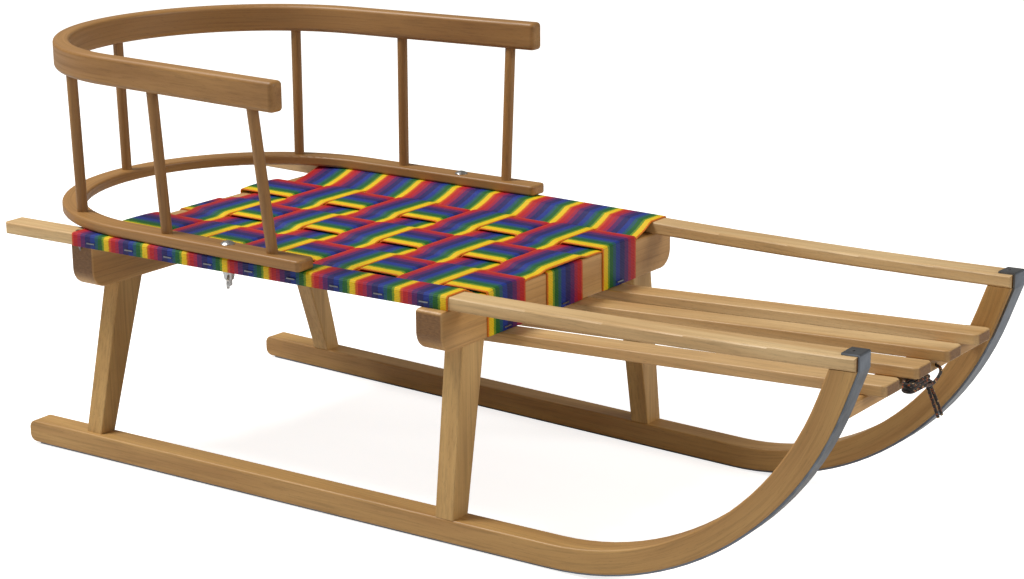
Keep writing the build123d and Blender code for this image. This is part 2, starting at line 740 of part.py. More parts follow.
# points chosen by hand: the two ends that hang from the knot
TAIL_ROUTES = [
    [(-2.6, -486.0, 178.6), (1.0, -487.0, 168.5), (7.0, -487.6, 157.5), (15.5, -487.4, 146.2)],
    [(0.6, -486.0, 178.6), (7.0, -487.2, 168.5), (14.5, -487.7, 157.5), (22.5, -487.4, 146.8)],
]


def cord_hole():
    """The hole in the bar that the cord comes out of."""
    x, _, z = LEAD_ROUTE[0]
    drill = Cylinder(CORD_DIAMETER / 2 + CORD_HOLE_CLEARANCE, 2 * CORD_HOLE_DEPTH)
    return Pos(x, BAR_FRONT_Y, z) * Rot(90, 0, 0) * drill


def pull_cord():
    knot = Pos(*KNOT_PLACE) * Sphere(KNOT_DIAMETER / 2)
    return {
        "pull_cord_hank": cord_hank(),
        "pull_cord_knot": knot,
        "pull_cord_lead": cord_tube(LEAD_ROUTE) - knot,
        "pull_cord_tails": [cord_tube(route) - knot for route in TAIL_ROUTES],
    }


# ---------------------------------------------------------------- the whole toboggan
def cut(shape, tools):
    for tool in tools:
        shape = shape - tool
    return shape


def build():
    nodes = {}
    screws_strip = strip_screws(screw_body())
    screws_rail = rail_screws(screw_body())
    screws_slat = slat_screws(screw_body())
    staples = strap_staples()
    holes = bolt_holes(BOLT_HOLE_CLEARANCE)

    rail = to_side(rail_blank(), RAIL_OUTER_HALF, RAIL_TOE)
    runner = to_side(runner_blank(), RUNNER_OUTER_HALF, RUNNER_TOE)
    strip = to_side(strip_blank(), RUNNER_OUTER_HALF, RUNNER_TOE)
    for side, flip in (("right", False), ("left", True)):
        for name, blank, tools in (
                ("top_rail", rail - strip, holes + screws_rail + screws_strip + staples),
                ("runner", runner, screws_strip),
                ("steel_strip", strip, screws_strip)):
            shape = mirrored(blank) if flip else blank
            near = [t for t in tools if (t.center().X < 0) == flip]
            nodes[name + "_" + side] = cut(shape, near)

    nodes["front_crossbeam"] = cut(
        crossbeam(FRONT_BEAM_Y, FRONT_BEAM_HEIGHT, FRONT_BEAM_HALF),
        screws_rail + screws_slat + staples)
    nodes["rear_crossbeam"] = cut(
        crossbeam(REAR_BEAM_Y, REAR_BEAM_HEIGHT, REAR_BEAM_HALF), screws_rail + staples)
    nodes.update(legs())

    for index in range(SLAT_COUNT):
        nodes["footrest_slat_%d" % (index + 1)] = cut(slat(slat_x(index)), screws_slat)
    nodes["front_crossbar"] = cut(front_crossbar(), screws_slat + [cord_hole()])

    for index, strap in enumerate(cross_webs()):
        nodes["cross_strap_%d" % (index + 1)] = cut(strap, holes + staples)
    for index, strap in enumerate(long_webs()):
        nodes["long_strap_%d" % (index + 1)] = cut(strap, staples)

    lower = hoop(LOWER_HOOP_RADIUS, LOWER_HOOP_FLARE, LOWER_HOOP_FRONT_Y, LOWER_HOOP_WIDTH,
                 HOOP_BOTTOM, LOWER_HOOP_THICK, LOWER_HOOP_EDGE)
    upper = hoop(UPPER_HOOP_RADIUS, UPPER_HOOP_FLARE, UPPER_HOOP_FRONT_Y, UPPER_HOOP_WIDTH,
                 UPPER_HOOP_BOTTOM, UPPER_HOOP_HEIGHT, UPPER_HOOP_EDGE)
    lower = cut(lower, holes)
    radius = SPINDLE_DIAMETER / 2
    for name, (foot, head) in spindle_ends().items():
        nodes[name] = rod(foot, head, radius, SPINDLE_SOCKET_LOWER, SPINDLE_SOCKET_UPPER)
        socket = rod(foot, head, radius + SPINDLE_FIT,
                     SPINDLE_SOCKET_LOWER + SPINDLE_FIT, SPINDLE_SOCKET_UPPER + SPINDLE_FIT)
        lower = lower - socket
        upper = upper - socket
    nodes["lower_hoop"] = lower
    nodes["upper_hoop"] = upper

    nodes["carriage_bolts"] = [Pos(x, y, HOOP_TOP) * carriage_bolt() for x, y in bolt_places()]
    washer_z = RAIL_BOTTOM - WASHER_THICK / 2
    nodes["washers"] = [Pos(x, y, washer_z) * washer() for x, y in bolt_places()]
    nut_z = RAIL_BOTTOM - WASHER_THICK - NUT_SEAT_GAP
    for (x, y), name in zip(bolt_places(), ("wing_nut_right", "wing_nut_left")):
        nodes[name] = Pos(x, y, nut_z) * Rot(0, 0, NUT_TURN) * wing_nut()

    nodes["strip_screws"] = strip_screws(wood_screw())
    nodes["rail_screws"] = rail_screws(wood_screw())
    nodes["slat_screws"] = slat_screws(wood_screw())
    nodes["strap_staples"] = staples
    nodes.update(pull_cord())
    return nodes


def write(nodes):
    os.makedirs("parts", exist_ok=True)
    for name, shape in nodes.items():
        solids = []
        for item in (shape if isinstance(shape, list) else [shape]):
            solids += item.solids()
        out = solids[0] if len(solids) == 1 else Compound(children=solids)
        out.label = name
        export_step(out, "parts/" + name + ".step")


write(build())
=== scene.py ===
import bpy
import bmesh
import math
from mathutils import Matrix, Vector


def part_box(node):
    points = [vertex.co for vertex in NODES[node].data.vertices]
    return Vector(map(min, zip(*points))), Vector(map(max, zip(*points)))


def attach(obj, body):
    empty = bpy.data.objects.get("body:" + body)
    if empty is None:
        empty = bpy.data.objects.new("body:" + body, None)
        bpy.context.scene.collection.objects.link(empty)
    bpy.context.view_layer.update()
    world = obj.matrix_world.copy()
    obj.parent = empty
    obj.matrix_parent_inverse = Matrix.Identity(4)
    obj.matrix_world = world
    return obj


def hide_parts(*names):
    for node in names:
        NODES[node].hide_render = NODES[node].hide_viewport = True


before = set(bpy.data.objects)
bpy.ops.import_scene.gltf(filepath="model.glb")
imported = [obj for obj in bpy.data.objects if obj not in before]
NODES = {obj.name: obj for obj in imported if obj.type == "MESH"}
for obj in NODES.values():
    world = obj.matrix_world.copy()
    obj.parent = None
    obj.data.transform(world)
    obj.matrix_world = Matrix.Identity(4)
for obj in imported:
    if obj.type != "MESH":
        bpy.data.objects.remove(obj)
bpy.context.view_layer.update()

# ---------------------------------------------------------------- camera
CAMERA_PLACE = Vector((-1.7254, -1.2902, 0.7867))
CAMERA_AZIMUTH = math.radians(-54.006)
CAMERA_HEIGHT_ANGLE = math.radians(15.465)
CAMERA_ROLL = math.radians(-0.5607)
CAMERA_LENS = 79.28
SENSOR_WIDTH = 36.0


def make_camera():
    """Camera from its place and three angles: azimuth, height and roll."""
    a, e = CAMERA_AZIMUTH, CAMERA_HEIGHT_ANGLE
    back = Vector((math.sin(a) * math.cos(e), -math.cos(a) * math.cos(e), math.sin(e)))
    right = (-back).cross(Vector((0, 0, 1))).normalized()
    up = right.cross(-back)
    c, s = math.cos(CAMERA_ROLL), math.sin(CAMERA_ROLL)
    across, upward = right * c + up * s, up * c - right * s
    data = bpy.data.cameras.new("camera")
    data.lens = CAMERA_LENS
    data.sensor_width = SENSOR_WIDTH
    data.sensor_fit = "HORIZONTAL"
    data.dof.use_dof = False
    data.clip_end = 50
    camera = bpy.data.objects.new("camera", data)
    rotation = Matrix((across, upward, back)).transposed()
    camera.matrix_world = Matrix.Translation(CAMERA_PLACE) @ rotation.to_4x4()
    bpy.context.scene.collection.objects.link(camera)
    bpy.context.scene.camera = camera


make_camera()


# ---------------------------------------------------------------- shader helpers
def linear(rgb):
    """Linear shader colour of an sRGB colour given as 0 to 255."""
    return tuple((c / 255.0) ** 2.2 for c in rgb) + (1.0,)


class Shader:
    """A material's node tree with short calls for the nodes used here."""

    def __init__(self, name):
        self.material = bpy.data.materials.new(name)
        self.material.use_nodes = True
        self.tree = self.material.node_tree
        self.bsdf = self.tree.nodes["Principled BSDF"]
        self.coords = self.new("ShaderNodeTexCoord")

    def new(self, kind, **settings):
        node = self.tree.nodes.new(kind)
        for key, value in settings.items():
            setattr(node, key, value)
        return node

    def put(self, socket, value):
        if isinstance(value, bpy.types.NodeSocket):
            self.tree.links.new(value, socket)
        else:
            socket.default_value = value

    def math(self, operation, a, b=0.0, c=0.0):
        node = self.new("ShaderNodeMath", operation=operation)
        for socket, value in zip(node.inputs, (a, b, c)):
            self.put(socket, value)
        return node.outputs[0]

    def split(self, vector):
        node = self.new("ShaderNodeSeparateXYZ")
        self.put(node.inputs[0], vector)
        return node.outputs

    def join(self, x, y, z):
        node = self.new("ShaderNodeCombineXYZ")
        for socket, value in zip(node.inputs, (x, y, z)):
            self.put(socket, value)
        return node.outputs[0]

    def scaled(self, parts, factors, offsets=(0.0, 0.0, 0.0)):
        """A vector from three coordinates, each times its factor plus its offset."""
        return self.join(*(
            self.math("MULTIPLY_ADD", part, factor, offset)
            for part, factor, offset in zip(parts, factors, offsets)))

    def noise(self, vector, detail=3.0, roughness=0.55, distortion=0.0):
        node = self.new("ShaderNodeTexNoise")
        self.put(node.inputs["Vector"], vector)
        node.inputs["Scale"].default_value = 1.0
        node.inputs["Detail"].default_value = detail
        node.inputs["Roughness"].default_value = roughness
        node.inputs["Distortion"].default_value = distortion
        return node.outputs["Fac"]

    def ramp(self, factor, stops, interpolation="LINEAR"):
        node = self.new("ShaderNodeValToRGB")
        self.put(node.inputs[0], factor)
        node.color_ramp.interpolation = interpolation
        elements = node.color_ramp.elements
        elements[0].position, elements[0].color = stops[0]
        elements[1].position, elements[1].color = stops[-1]
        for place, colour in stops[1:-1]:
            elements.new(place).color = colour
        return node.outputs[0]

    def mix(self, factor, a, b, blend="MIX"):
        node = self.new("ShaderNodeMix", data_type="RGBA", blend_type=blend)
        self.put(node.inputs[0], factor)
        self.put(node.inputs[6], a)
        self.put(node.inputs[7], b)
        return node.outputs[2]

    def bump(self, height, strength, distance):
        node = self.new("ShaderNodeBump")
        self.put(node.inputs["Height"], height)
        node.inputs["Strength"].default_value = strength
        node.inputs["Distance"].default_value = distance
        self.put(self.bsdf.inputs["Normal"], node.outputs[0])


def grey(value):
    return (value, value, value, 1.0)


# ---------------------------------------------------------------- wood
HOOP_CENTRE_Y = 0.302
HOOP_RADIUS = 0.19          # makes a length along the hoop of an angle round it
BEND_RADIUS = 0.304
BEND_ANGLE = math.radians(70)
RUNNER_TIP_REACH = 0.02     # the tip goes on about this far past the bend, along Y
BEND_START_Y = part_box("runner_right")[0][1] + BEND_RADIUS * math.sin(BEND_ANGLE) + RUNNER_TIP_REACH


def grain_space(shader, way):
    """Two coordinates across the grain and one along it, in metres.

    way is an axis, or "hoop" or "runner", where the grain follows the bend.
    """
    x, y, z = shader.split(shader.coords.outputs["Object"])
    if way == "x":
        return y, z, x
    if way == "y":
        return x, z, y
    if way == "z":
        return x, y, z

    bend_y = HOOP_CENTRE_Y if way == "hoop" else BEND_START_Y
    fore = shader.math("MINIMUM", shader.math("SUBTRACT", y, bend_y), 0.0)
    rear = shader.math("MAXIMUM", shader.math("SUBTRACT", y, bend_y), 0.0)

    def length(a, b):
        return shader.math("SQRT", shader.math("MULTIPLY_ADD", a, a, shader.math("MULTIPLY", b, b)))

    if way == "hoop":
        angle = shader.math("ARCTAN2", x, shader.math("ADD", rear, 0.0001))
        turn = shader.math("MULTIPLY", angle, HOOP_RADIUS)
        return length(x, rear), z, shader.math("ADD", turn, fore)
    drop = shader.math("SUBTRACT", BEND_RADIUS, z)
    turn = shader.math("MULTIPLY", shader.math("ARCTAN2", fore, drop), BEND_RADIUS)
    return x, length(fore, drop), shader.math("ADD", turn, rear)


END_GRAIN_DARK, END_GRAIN_LIGHT = (104, 70, 34), (132, 94, 52)


def wood(name, way, light, dark, seed, end_axis=None):
    """Straight-grained light wood: broad tone, fine grain, short flecks and darker end grain.

    seed shifts the pattern, so that no two woods share it. end_axis is the axis (0, 1 or 2)
    that the ends face, where they show.
    """
    s = Shader(name)
    a, b, along = grain_space(s, way)

    def stretched(across, length, shift):
        """Coordinates for noise: cycles per metre across the grain and along it."""
        return s.scaled((a, b, along), (across, across, length), (seed + shift, seed * 1.7, 0.0))

    broad = s.noise(stretched(38.0, 2.2, 0.0), 3.0, 0.5, 0.6)
    grain = s.noise(stretched(420.0, 7.0, 3.1), 5.0, 0.62, 0.4)
    fleck = s.noise(stretched(1500.0, 130.0, 7.7), 2.0, 0.5)
    patch = s.noise(stretched(9.0, 5.0, 1.3), 2.0, 0.5)
    colour = s.ramp(broad, [(0.30, linear(dark)), (0.66, linear(light))])
    lines = s.ramp(grain, [(0.34, grey(0.76)), (0.50, grey(0.97)), (0.72, grey(1.05))])
    colour = s.mix(0.85, colour, lines, "MULTIPLY")
    flecks = s.ramp(fleck, [(0.63, grey(1.0)), (0.70, grey(0.72))])
    colour = s.mix(0.7, colour, flecks, "MULTIPLY")
    patches = s.ramp(patch, [(0.35, (0.93, 0.88, 0.80, 1.0)), (0.65, grey(1.04))])
    colour = s.mix(0.8, colour, patches, "MULTIPLY")
    if end_axis is not None:
        normal = s.split(s.coords.outputs["Normal"])[end_axis]
        facing = s.math("POWER", s.math("ABSOLUTE", normal), 6.0)
        place = s.join(s.math("MULTIPLY", a, 260.0), s.math("MULTIPLY", b, 700.0), seed)
        rings = s.noise(place, 3.0, 0.6)
        ends = s.ramp(rings, [(0.30, linear(END_GRAIN_DARK)), (0.70, linear(END_GRAIN_LIGHT))])
        colour = s.mix(facing, colour, ends)
    s.put(s.bsdf.inputs["Base Color"], colour)
    rough = s.ramp(grain, [(0.3, grey(0.58)), (0.7, grey(0.42))])
    s.put(s.bsdf.inputs["Roughness"], rough)
    s.bsdf.inputs["Coat Weight"].default_value = 0.12
    s.bsdf.inputs["Coat Roughness"].default_value = 0.35
    s.bump(grain, 0.25, 0.0004)
    return s.material


RAIL_WOOD = wood("rail_wood", "y", (218, 188, 140), (192, 154, 104), 1.0, 1)
RUNNER_WOOD = wood("runner_wood", "runner", (192, 152, 94), (166, 124, 72), 4.0)
BEAM_WOOD = wood("beam_wood", "x", (208, 166, 110), (178, 134, 80), 7.0, 0)
LEG_WOOD = wood("leg_wood", "z", (200, 162, 104), (174, 134, 80), 11.0)
SLAT_WOOD = wood("slat_wood", "y", (216, 182, 132), (186, 146, 94), 15.0, 1)
BAR_WOOD = wood("bar_wood", "x", (200, 158, 102), (170, 128, 76), 19.0, 0)
HOOP_WOOD = wood("hoop_wood", "hoop", (166, 124, 72), (140, 100, 54), 23.0)
SPINDLE_WOOD = wood("spindle_wood", "z", (160, 118, 68), (134, 96, 52), 27.0)


# ---------------------------------------------------------------- metal, webbing and cord
def metal(name, base, rough, scale, stretch):
    """Steel with soft blotches of tone and fine marks, drawn out along Y and Z by a small stretch."""
    s = Shader(name)
    place = s.split(s.coords.outputs["Object"])
    streak = s.noise(s.scaled(place, (scale, scale * stretch, scale * stretch)), 4.0, 0.6)
    blotch = s.noise(s.scaled(place, (60.0, 60.0, 60.0)), 3.0)
    tone = s.ramp(blotch, [(0.3, linear([c * 0.82 for c in base])), (0.7, linear(base))])
    s.put(s.bsdf.inputs["Base Color"], tone)
    s.bsdf.inputs["Metallic"].default_value = 1.0
    roughness = s.ramp(streak, [(0.3, grey(rough + 0.12)), (0.7, grey(rough - 0.08))])
    s.put(s.bsdf.inputs["Roughness"], roughness)
    s.bump(streak, 0.15, 0.0002)
    return s.material


STRIP_STEEL = metal("strip_steel", (128, 136, 148), 0.36, 900.0, 0.04)
ZINC = metal("zinc_steel", (205, 207, 210), 0.28, 500.0, 1.0)
SCREW_STEEL = metal("screw_steel", (150, 152, 158), 0.38, 600.0, 1.0)

# where each colour starts, as a share of the strap's width, from the red edge
STRIPES = [
    (0.000, (206, 70, 26)), (0.040, (186, 16, 30)), (0.150, (158, 14, 66)), (0.235, (88, 18, 96)),
    (0.350, (30, 24, 98)), (0.490, (14, 50, 142)), (0.610, (6, 84, 104)), (0.690, (8, 96, 38)),
    (0.800, (112, 150, 24)), (0.850, (240, 200, 14)), (0.970, (226, 124, 18)),
]
RIB_PITCH = 0.0016
WARP_ENDS = 34


def webbing():
    """Rainbow stripes across the strap, cross ribs along it, fine warp ends and fuzz, with painted
    shade in the weave's grooves and painted highlight on its ridges.
    """
    s = Shader("webbing")
    u, v, _ = s.split(s.coords.outputs["UV"])
    rib = s.math("SINE", s.math("MULTIPLY", v, 2 * math.pi / RIB_PITCH))
    warp = s.math("SINE", s.math("MULTIPLY", u, 2 * math.pi * WARP_ENDS))
    per_rib = s.join(s.math("MULTIPLY", u, 12.0), s.math("MULTIPLY", v, 1 / RIB_PITCH), 0.0)
    jag = s.noise(per_rib, 1.0)
    edge = s.math("MULTIPLY_ADD", s.math("SUBTRACT", jag, 0.5), 0.030, u)
    colour = s.ramp(edge, [(p, linear(c)) for p, c in STRIPES], "CONSTANT")
    weave = s.math("MULTIPLY_ADD", rib, 0.5, s.math("MULTIPLY", warp, 0.35))
    height = s.math("MULTIPLY_ADD", weave, 0.5, 0.5)
    # painted shade in the weave's grooves and painted highlight on its ridges, multiplied into the
    # stripe colours
    painted_weave_light_and_shade = s.ramp(height, [(0.05, grey(0.62)), (0.6, grey(1.0)), (1.0, grey(1.12))])
    colour = s.mix(0.75, colour, painted_weave_light_and_shade, "MULTIPLY")
    wear = s.noise(s.join(s.math("MULTIPLY", u, 3.0), s.math("MULTIPLY", v, 40.0), 2.0), 4.0, 0.6)
    worn = s.ramp(wear, [(0.3, grey(0.86)), (0.7, grey(1.06))])
    colour = s.mix(0.6, colour, worn, "MULTIPLY")
    s.put(s.bsdf.inputs["Base Color"], colour)
    s.bsdf.inputs["Roughness"].default_value = 0.52
    s.bsdf.inputs["Specular IOR Level"].default_value = 0.45
    s.bump(weave, 0.6, 0.00035)
    return s.material


def braid():
    """Dark braided cord with orange and cream flecks."""
    s = Shader("cord")
    place = s.split(s.coords.outputs["Object"])
    spot = s.new("ShaderNodeTexVoronoi")
    spot.inputs["Scale"].default_value = 620.0
    s.put(spot.inputs["Vector"], s.coords.outputs["Object"])
    pick = s.split(spot.outputs["Color"])[0]
    colour = s.ramp(pick, [
        (0.0, linear((20, 13, 12))), (0.50, linear((42, 24, 16))), (0.76, linear((158, 80, 34))),
        (0.86, linear((196, 160, 112))), (0.90, linear((26, 17, 14)))], "CONSTANT")
    fuzz = s.noise(s.scaled(place, (1800.0, 1800.0, 1800.0)), 2.0)
    tufts = s.ramp(fuzz, [(0.3, grey(0.7)), (0.7, grey(1.1))])
    colour = s.mix(0.5, colour, tufts, "MULTIPLY")
    s.put(s.bsdf.inputs["Base Color"], colour)
    s.bsdf.inputs["Roughness"].default_value = 0.75
    s.bsdf.inputs["Sheen Weight"].default_value = 0.2
    s.bump(spot.outputs["Distance"], 0.7, 0.0005)
    return s.material


WEBBING = webbing()
CORD = braid()


# how a node's name starts, its material and its slot
MATERIALS = [
    ("top_rail", RAIL_WOOD, "rail_wood"), ("runner", RUNNER_WOOD, "runner_wood"),
    ("footrest_slat", SLAT_WOOD, "slat_wood"), ("front_crossbar", BAR_WOOD, "frame_wood"),
    ("front_crossbeam", BEAM_WOOD, "frame_wood"), ("rear_crossbeam", BEAM_WOOD, "frame_wood"),
    ("front_leg", LEG_WOOD, "frame_wood"), ("rear_leg", LEG_WOOD, "frame_wood"),
    ("lower_hoop", HOOP_WOOD, "hoop_wood"), ("upper_hoop", HOOP_WOOD, "hoop_wood"),
    ("spindle", SPINDLE_WOOD, "spindle_wood"), ("steel_strip", STRIP_STEEL, "strip_steel"),
    ("carriage_bolts", ZINC, "zinc_steel"), ("washers", ZINC, "zinc_steel"),
    ("wing_nut", ZINC, "zinc_steel"), ("strap_staples", SCREW_STEEL, "screw_steel"),
    ("strip_screws", SCREW_STEEL, "screw_steel"), ("rail_screws", SCREW_STEEL, "screw_steel"),
    ("slat_screws", SCREW_STEEL, "screw_steel"), ("cross_strap", WEBBING, "webbing"),
    ("long_strap", WEBBING, "webbing"), ("pull_cord", CORD, "cord"),
]


def material_for(name):
    return next((material, word) for start, material, word in MATERIALS if name.startswith(start))


for name, node in NODES.items():
    material, word = material_for(name)
    node.data.materials.clear()
    node.data.materials.append(material)


# ---------------------------------------------------------------- woven seat
WEB_THICK = 0.0015
CROSS_COUNT, CROSS_PITCH, CROSS_WIDTH = 9, 0.051, 0.0511
CROSS_FIRST_Y = -0.0736
LONG_COUNT, LONG_PITCH, LONG_WIDTH = 3, 0.0955, 0.060
WEAVE_Z = 0.2301
RAIL_TOP, RAIL_BOTTOM, RAIL_WIDTH = 0.241, 0.2285, 0.026
RAIL_OUTER_HALF, RAIL_TOE = 0.188, 0.0453
RAIL_INSIDE_GAP = 0.001     # a strap leaves the rail this far inside its edge
BEAM_FRONT_Y, BEAM_REAR_Y = -0.099, 0.379
FRONT_FALL_Z, REAR_FALL_Z = 0.1895, 0.1815
LEVEL_STEP = 0.0008         # each strap's middle keeps at least this far off the weave's level
CROWN = 0.0028              # a strap on top rises this much more along its middle
EDGE_DROP = 0.45            # and this share of it less at its edges
BEND = 0.0024               # corner radius of a strap's middle
CROSS_LAP = 0.004           # a cross strap changes level this far inside a long strap's edge
LONG_LAP = 0.0045           # and a long strap this far inside a cross strap's
CROSS_TURN = 0.36           # the share of a gap that half a cross strap's change takes
RAMP_SETTLE = 0.72          # beyond this share of the ramp each strap goes to its own level
RAMP_CURVE = 1.5
LONG_CORNER = 0.004         # the last stretch before a long strap's corner, which is level
COLUMNS = 15                # points across a strap
RAMP_STEPS, CROSS_STEPS, LONG_STEPS = 16, 120, 260


def rail_outer(y):
    return RAIL_OUTER_HALF + RAIL_TOE * y


def long_x(index):
    return (index - (LONG_COUNT - 1) / 2) * LONG_PITCH


def cross_y(index):
    return CROSS_FIRST_Y + index * CROSS_PITCH


def smooth(t):
    t = min(1.0, max(0.0, t))
    return t * t * (3 - 2 * t)


def blend_signs(place, centres, half_width, signs, turn=1.0):
    """Sign at a place on a strap: steady on each crossing, turning smoothly between two.

    turn is the share of each gap that half the change takes: 1 is one smooth curve, and less
    leaves the strap level in the middle of the gap.
    """
    if place <= centres[0]:
        return signs[0]
    for index in range(len(centres) - 1):
        a = centres[index] + half_width
        b = centres[index + 1] - half_width
        if place <= centres[index + 1]:
            t = (place - a) / (b - a)
            if turn == 1.0:
                return signs[index] + (signs[index + 1] - signs[index]) * smooth(t)
            leave, join = smooth(t / turn), smooth((t - 1 + turn) / turn)
            return signs[index] * (1 - leave) + signs[index + 1] * join
    return signs[-1]


def weave_level(sign, across):
    """Height of a strap's middle above the weave's level. across runs from -1 to 1."""
    if sign <= 0:
        return sign * LEVEL_STEP
    return sign * (LEVEL_STEP + CROWN * (1 - EDGE_DROP * abs(across) ** 3))


def long_over(cross_index, long_index):
    return 1 if (cross_index + long_index) % 2 == 0 else -1


def rounded(points, radius, steps=5):
    """The open line with its marked corners rounded. Points are (a, b, is_corner)."""
    line = []
    for index, (a, b, corner) in enumerate(points):
        if not corner:
            line.append((a, b))
            continue
        here = Vector((a, b))
        before = (Vector(points[index - 1][:2]) - here).normalized()
        after = (Vector(points[index + 1][:2]) - here).normalized()
        p, q = here + before * radius, here + after * radius
        for step in range(steps + 1):
            t = step / steps
            line.append(tuple(p * (1 - t) ** 2 + here * 2 * t * (1 - t) + q * t ** 2))
    return line


def strap_mesh(name, rows):
    """A strap from rows of points. Rows run along the strap, and each row crosses it."""
    mesh = bpy.data.meshes.new(name)
    build = bmesh.new()
    uv_layer = build.loops.layers.uv.new("UVMap")
    columns = len(rows[0])
    grid = [[build.verts.new(p) for p in row] for row in rows]
    middle = columns // 2
    reach = [0.0]
    for before, after in zip(rows, rows[1:]):
        reach.append(reach[-1] + (Vector(after[middle]) - Vector(before[middle])).length)
    for i in range(len(rows) - 1):
        for j in range(columns - 1):
            face = build.faces.new((grid[i][j], grid[i][j + 1], grid[i + 1][j + 1], grid[i + 1][j]))
            face.smooth = True
            corners = ((i, j), (i, j + 1), (i + 1, j + 1), (i + 1, j))
            for loop, (row, column) in zip(face.loops, corners):
                loop[uv_layer].uv = (column / (columns - 1), reach[row])
    bmesh.ops.recalc_face_normals(build, faces=build.faces)
    build.to_mesh(mesh)
    build.free()
    strap = bpy.data.objects.new(name, mesh)
    bpy.context.scene.collection.objects.link(strap)
    thick = strap.modifiers.new("thickness", "SOLIDIFY")
    thick.thickness = WEB_THICK
    thick.offset = 0.0
    edge = strap.modifiers.new("edge", "BEVEL")
    edge.width = 0.0005
    edge.segments = 2
    edge.limit_method = "ANGLE"
    mesh.materials.append(WEBBING)
    return strap


def ramp(sign, across, inner, foot, top):
    """From the rail's inner edge down to the weave, all straps at one level until near it."""
    points = []
    for step in range(1, RAMP_STEPS):
        t = step / RAMP_STEPS
        settle = smooth((t - RAMP_SETTLE) / (1 - RAMP_SETTLE))
        low = WEAVE_Z + weave_level(sign * settle, across)
        fall = 1 - (1 - t) ** RAMP_CURVE
        points.append((inner + (foot - inner) * t, top + (low - top) * fall))
    return points


def rows_from(lines):
    """Rows across a strap from the lines along it."""
    return [[line[k] for line in lines] for k in range(len(lines[0]))]


def across_strap(column):
    """From +1 at the strap's red edge to -1 at its other one."""
    return 1 - 2 * column / (COLUMNS - 1)


def cross_strap(index):
    """From the bottom of one rail's outer face, over both rails, to the other's."""
    centre = cross_y(index)
    signs = [-long_over(index, j) for j in range(LONG_COUNT)]
    centres = [long_x(j) for j in range(LONG_COUNT)]
    top = RAIL_TOP + WEB_THICK / 2
    foot = centres[-1] + LONG_WIDTH / 2
    level = [foot * (2 * step / CROSS_STEPS - 1) for step in range(CROSS_STEPS + 1)]
    lines = []
    for column in range(COLUMNS):
        across = across_strap(column)
        y = centre + across * CROSS_WIDTH / 2
        outer = rail_outer(y) + WEB_THICK / 2
        inner = rail_outer(y) - RAIL_WIDTH - RAIL_INSIDE_GAP
        left_ramp = ramp(signs[0], across, inner, foot, top)
        right_ramp = ramp(signs[-1], across, inner, foot, top)
        line = rounded(
            [(-outer, RAIL_BOTTOM, False), (-outer, top, True), (-inner, top, False)], BEND)
        line += [(-x, z) for x, z in left_ramp]
        for x in level:
            sign = blend_signs(x, centres, LONG_WIDTH / 2 - CROSS_LAP, signs, CROSS_TURN)
            line.append((x, WEAVE_Z + weave_level(sign, across)))
        line += list(reversed(right_ramp))
        line += rounded(
            [(inner, top, False), (outer, top, True), (outer, RAIL_BOTTOM, False)], BEND)
        lines.append([(x, y, z) for x, z in line])
    return strap_mesh("woven_cross_strap_%d" % (index + 1), rows_from(lines))


def long_strap(index):
    """From the bottom of the front beam's face, over both beams, down the rear beam's."""
    centre = long_x(index)
    signs = [long_over(i, index) for i in range(CROSS_COUNT)]
    centres = [cross_y(i) for i in range(CROSS_COUNT)]
    front, rear = BEAM_FRONT_Y - WEB_THICK / 2, BEAM_REAR_Y + WEB_THICK / 2
    level_run = rear - front - 2 * LONG_CORNER
    lines = []
    for column in range(COLUMNS):
        across = across_strap(column)
        x = centre + across * LONG_WIDTH / 2
        line = []
        for step in range(LONG_STEPS + 1):
            y = front + LONG_CORNER + level_run * step / LONG_STEPS
            sign = blend_signs(y, centres, CROSS_WIDTH / 2 - LONG_LAP, signs)
            line.append((y, WEAVE_Z + weave_level(sign, across)))
        (y_first, z_first), (y_last, z_last) = line[0], line[-1]
        fall = rounded(
            [(front, FRONT_FALL_Z, False), (front, z_first, True), (y_first, z_first, False)], BEND)
        back = rounded(
            [(y_last, z_last, False), (rear, z_last, True), (rear, REAR_FALL_Z, False)], BEND)
        lines.append([(x, y, z) for y, z in fall[:-1] + line + back[1:]])
    return strap_mesh("woven_long_strap_%d" % (index + 1), rows_from(lines))


for number in range(CROSS_COUNT):
    strap = cross_strap(number)
    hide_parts("cross_strap_%d" % (number + 1))
    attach(strap, "sled")
for number in range(LONG_COUNT):
    strap = long_strap(number)
    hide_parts("long_strap_%d" % (number + 1))
    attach(strap, "sled")


# ---------------------------------------------------------------- pull cord
CORD_RADIUS = 0.0015
# points listed in millimetres: out of the bar and across to the knot
LEAD_POINTS = [
    (30.0, -473.5, 188.9), (29.4, -480.0, 188.8), (22.0, -485.6, 186.8), (12.0, -487.4, 184.0),
    (5.0, -487.6, 181.6), (-3.0, -487.8, 180.6),
]
HANK_MIDDLE = (-30.0, -486.5)
HANK_STRAIGHT = 15.0        # half the straight part of each turn
HANK_BEND = 4.5
HANK_LOW_Z, HANK_STEP = 186.0, 3.15
HANK_TURNS = 2              # whole turns, and then the points up to where the free end leaves
HANK_LAST_POINTS = 9
# the cord's free end, from the wound part's top, behind the knot and down
TAIL_A = [
    (-9.0, -480.4, 195.4), (-3.0, -481.2, 190.8), (-2.4, -483.6, 183.6), (-2.4, -484.6, 177.4),
    (1.0, -487.0, 168.5), (7.0, -487.6, 157.5), (15.5, -487.4, 146.2),
]
TAIL_B = [(0.6, -486.0, 178.6), (7.0, -487.2, 168.5), (14.5, -487.7, 157.5), (22.5, -487.4, 146.8)]
KNOT_PLACE = (-1.5, -485.5, 181.5)
KNOT_REACH, KNOT_DEPTH, KNOT_POINTS = 0.961, 1.71, 40


